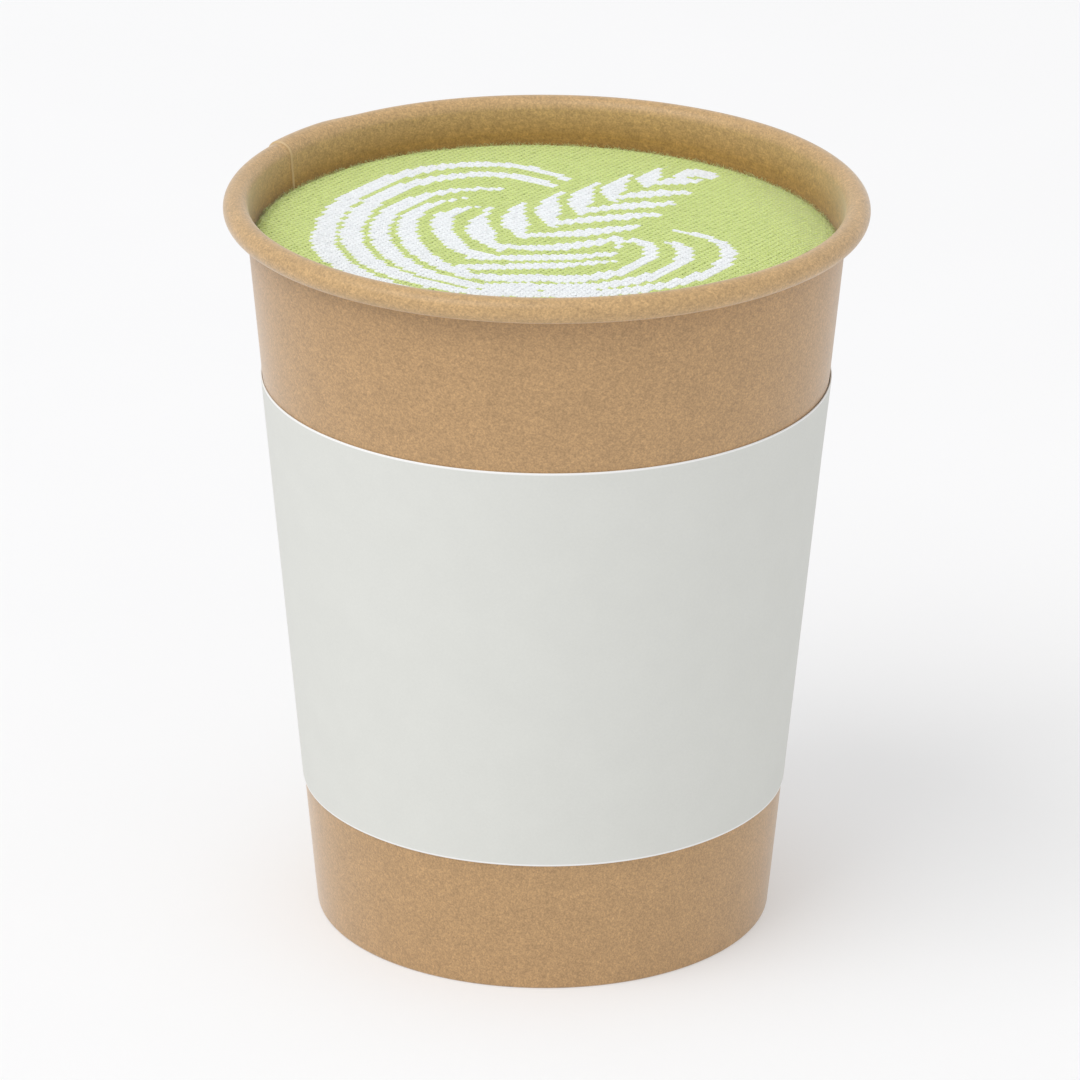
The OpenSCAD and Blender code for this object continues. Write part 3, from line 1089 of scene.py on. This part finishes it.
def lay_fibres(rng):
    """Scatters stray fibres over the face, half of them in a narrow band along its edge."""
    knit = settings().knit
    edge = face_size()[1] + 1.0 * MM
    band = 2.5 * MM
    at_edge = rng.uniform(0, 1, knit.fibres) < 0.5
    in_band = edge - rng.uniform(0, band, knit.fibres)
    away = np.where(at_edge, in_band, edge * np.sqrt(rng.uniform(0, 1, knit.fibres)))
    turns = rng.uniform(0, 2 * np.pi, knit.fibres)
    x, y = away * np.cos(turns), away * np.sin(turns)
    white = is_milk(x, y)
    laid = []
    for name, chosen, material, slot in (("matcha_fibres", ~white, matcha_yarn(), "matcha_knit"),
                                         ("milk_fibres", white, milk_yarn(), "white_knit")):
        piece = loose_fibres(name, x[chosen], y[chosen], at_edge[chosen], rng)
        laid.append(finished(piece, "sock_bundle", material))
    return laid


class LATTE_CUP_OT_latte_sock(bpy.types.Operator):
    """Add the latte sock: flat face, ribbed leg down the bundle's side, and pleats tucked under"""
    bl_idname = "latte_cup.latte_sock"
    bl_label = "Latte sock"

    def execute(self, context):
        """The fabric is one surface turned round the axis: its outside, and an inside along its normals.

        Near the face it gives way to the lap seam and to the pressed rim. Single stitches and stray
        fibres are then laid on the face and over its edge.
        """
        knit = settings().knit
        top, reach = face_size()
        outline = sock_outline()
        turns = np.linspace(0, 2 * np.pi, 456, endpoint=False)
        lift, tone = sock_folds(outline, turns)
        normal = profile_normals(outline, closed=False)
        normal[-1] = (0, 1)
        last = len(outline) - 1
        kept = np.append(np.arange(0, last, 4), last)
        inside = outline[kept] - normal[kept] * knit.knit
        inside[:, 0] = np.maximum(inside[:, 0], 0)
        flat = top - outline[:, 1] < 0.01 * MM
        dome = knit.dome * (1 - np.clip(outline[:, 0] / (reach - knit.edge), 0, 1) ** 2) * flat
        give = smoothstep((outline[:, 0] - reach + 6 * MM) / (3 * MM))
        give = give * (pressed(turns[:, None], outline[:, 1]) + LAP_GIVE * lap_inside(turns)[:, None])
        radius_out = np.maximum(outline[:, 0] + normal[:, 0] * lift, 0) - give
        radius_in = inside[:, 0] - give[:, kept]
        height_out = outline[:, 1] + normal[:, 1] * lift + dome
        height_in = np.broadcast_to(inside[:, 1] + dome[kept], radius_in.shape)
        points = revolved(np.concatenate([radius_out, radius_in[:, ::-1]], axis=1),
                          np.concatenate([height_out, height_in[:, ::-1]], axis=1), turns)
        on_top = np.append(flat, np.zeros(len(kept), bool))
        milk = on_top & is_milk(points[:, :, 0], points[:, :, 1])
        # Painted shade: the face's fabric, seen between the stitches, is a little darker; the inner side is
        # darker still.
        tone = np.concatenate([tone * np.where(flat, 0.93, 1), np.full(radius_in.shape, 0.9)], axis=1)
        distance = walk(outline)
        v = np.concatenate([distance, distance[kept][::-1], distance[:1]])
        uv = grid_uv(np.append(turns, 2 * np.pi) * sock_foot(), v)
        made = surface("latte_sock_knit", points, True, True, uv, {"milk": milk, "tone": tone}, weld=True)
        finished(made, "sock_bundle", knit_material())
        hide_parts("latte_sock")
        rng = np.random.default_rng(knit.seed)
        laid = lay_stitches(rng) + lay_fibres(rng)
        return {"FINISHED"}


class LATTE_CUP_OT_second_sock(bpy.types.Operator):
    """Add the second sock: laid flat and rolled up on itself"""
    bl_idname = "latte_cup.second_sock"
    bl_label = "Second sock"

    def execute(self, context):
        """A flat band with round edges follows a spiral: the radius grows by one pitch each turn.

        The band tapers to nothing at both ends, and its thickness has a slight ripple.
        """
        knit = settings().knit
        low, high = node_span("second_sock")
        outer = node_radius("second_sock")
        half = knit.roll_layer / 2
        turns_total = (outer - half - knit.roll_start) / knit.roll_pitch
        t = np.linspace(0, turns_total * 2 * np.pi, int(64 * turns_total))
        middle = knit.roll_start + knit.roll_pitch * t / (2 * np.pi)
        edge = half * 0.98
        ring = np.concatenate([
            line((half, low + edge), (half, high - edge), 26),
            arc(0, high - edge, half, 0, 180, 9)[1:],
            line((-half, high - edge), (-half, low + edge), 26)[1:],
            arc(0, low + edge, half, 180, 360, 9)[1:-1]])
        taper = np.sqrt(np.clip(np.minimum(t, t[-1] - t) / 0.16, 1e-4, 1))[:, None]
        ripple = 1 + 0.06 * np.cos(t[:, None] * 9 + ring[:, 1] / (9 * MM))
        radius = middle[:, None] + ring[:, 0] * taper * ripple
        points = np.stack([radius * np.cos(t)[:, None], radius * np.sin(t)[:, None],
                           np.broadcast_to(ring[:, 1], radius.shape)], axis=2)
        along = np.cumsum(np.append(0, np.diff(t) * middle[1:]))
        round_band = walk(np.concatenate([ring, ring[:1]]))
        uv = grid_uv(along, round_band)[:, :, ::-1]
        made = surface("rolled_sock", points, False, True, uv,
                       {"milk": np.ones(radius.shape), "tone": np.ones(radius.shape)})
        work = bmesh.new()
        work.from_mesh(made.data)
        bmesh.ops.holes_fill(work, edges=[e for e in work.edges if e.is_boundary], sides=0)
        bmesh.ops.recalc_face_normals(work, faces=work.faces)
        work.to_mesh(made.data)
        work.free()
        finished(made, "sock_bundle", knit_material())
        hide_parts("second_sock")
        return {"FINISHED"}


# ---------------------------------------------------------------- the stage

def area_light(name, place, aim, size, power):
    """A square soft light at a place, turned towards a point."""
    data = bpy.data.lights.new(name, "AREA")
    data.shape, data.size, data.energy = "SQUARE", size, power
    made = bpy.data.objects.new(name, data)
    made.location = place
    made.rotation_euler = (Vector(aim) - Vector(place)).to_track_quat("-Z", "Y").to_euler()
    bpy.context.scene.collection.objects.link(made)


class LATTE_CUP_OT_stage(bpy.types.Operator):
    """Add the camera, the soft lights and the pale floor"""
    bl_idname = "latte_cup.stage"
    bl_label = "Stage"

    def execute(self, context):
        """The camera's axes are built from its elevation and roll; the floor is one wide plane."""
        studio = settings().studio
        scene = context.scene
        aim = Vector((studio.aim_x, 0, studio.aim_z))
        back = Vector((0, -math.cos(studio.elevation), math.sin(studio.elevation)))
        right = Vector((1, 0, 0))
        up = back.cross(right)
        cos_roll, sin_roll = math.cos(studio.roll), math.sin(studio.roll)
        turned_right = right * cos_roll + up * sin_roll
        turned_up = up * cos_roll - right * sin_roll
        place = aim + back * studio.distance
        data = bpy.data.cameras.new("camera")
        data.lens = studio.lens
        data.clip_start, data.clip_end = 0.05, 20
        camera = bpy.data.objects.new("camera", data)
        axes = Matrix((turned_right, turned_up, back)).transposed().to_4x4()
        camera.matrix_world = Matrix.Translation(place) @ axes
        scene.collection.objects.link(camera)
        scene.camera = camera
        area_light("key_light", (-1.5, -1.25, 3.0), (0, 0, 0.06), 2.4, studio.key_power)
        area_light("fill_light", (0.9, -2.6, 1.0), (0, 0, 0.05), 2.0, studio.fill_power)
        world = bpy.data.worlds.new("studio_world")
        world.use_nodes = True
        sky = world.node_tree.nodes["Background"]
        sky.inputs["Color"].default_value = (1, 1, 1, 1)
        sky.inputs["Strength"].default_value = studio.sky
        scene.world = world
        scene.view_settings.view_transform = "Standard"
        floor_reach = 6
        corners = np.linspace(-floor_reach, floor_reach, 9)
        x, y = np.meshgrid(corners, corners, indexing="ij")
        floor = surface("studio_floor", np.stack([x, y, np.zeros_like(x)], axis=2), False, False)
        floor.data.materials.append(matt_floor("studio_floor", settings().finish.floor))
        return {"FINISHED"}


class LATTE_CUP_PT_panel(bpy.types.Panel):
    """Panel that lists the pieces"""
    bl_idname = "LATTE_CUP_PT_panel"
    bl_label = "Sock cup"
    bl_space_type = "VIEW_3D"
    bl_region_type = "UI"
    bl_category = "Sock cup"

    def draw(self, context):
        """One button for each operator."""
        for operator in OPERATORS:
            self.layout.operator(operator.bl_idname)


GROUPS = (CupSizes, KnitSizes, Finishes, Studio, LatteCup)
OPERATORS = (LATTE_CUP_OT_stage, LATTE_CUP_OT_sidewall, LATTE_CUP_OT_base, LATTE_CUP_OT_sleeve,
             LATTE_CUP_OT_card, LATTE_CUP_OT_latte_sock, LATTE_CUP_OT_second_sock)


def register():
    """Registers the classes and hangs the settings on the scene."""
    for cls in (*GROUPS, *OPERATORS, LATTE_CUP_PT_panel):
        bpy.utils.register_class(cls)
    bpy.types.Scene.latte_cup = PointerProperty(type=LatteCup)


def unregister():
    """Takes the settings and the classes away."""
    del bpy.types.Scene.latte_cup
    for cls in (LATTE_CUP_PT_panel, *reversed(OPERATORS), *reversed(GROUPS)):
        bpy.utils.unregister_class(cls)


def main():
    """Builds every piece and the stage."""
    register()
    bpy.ops.latte_cup.stage()
    bpy.ops.latte_cup.sidewall()
    bpy.ops.latte_cup.base()
    bpy.ops.latte_cup.sleeve()
    bpy.ops.latte_cup.card()
    bpy.ops.latte_cup.latte_sock()
    bpy.ops.latte_cup.second_sock()


if __name__ == "__main__":
    main()
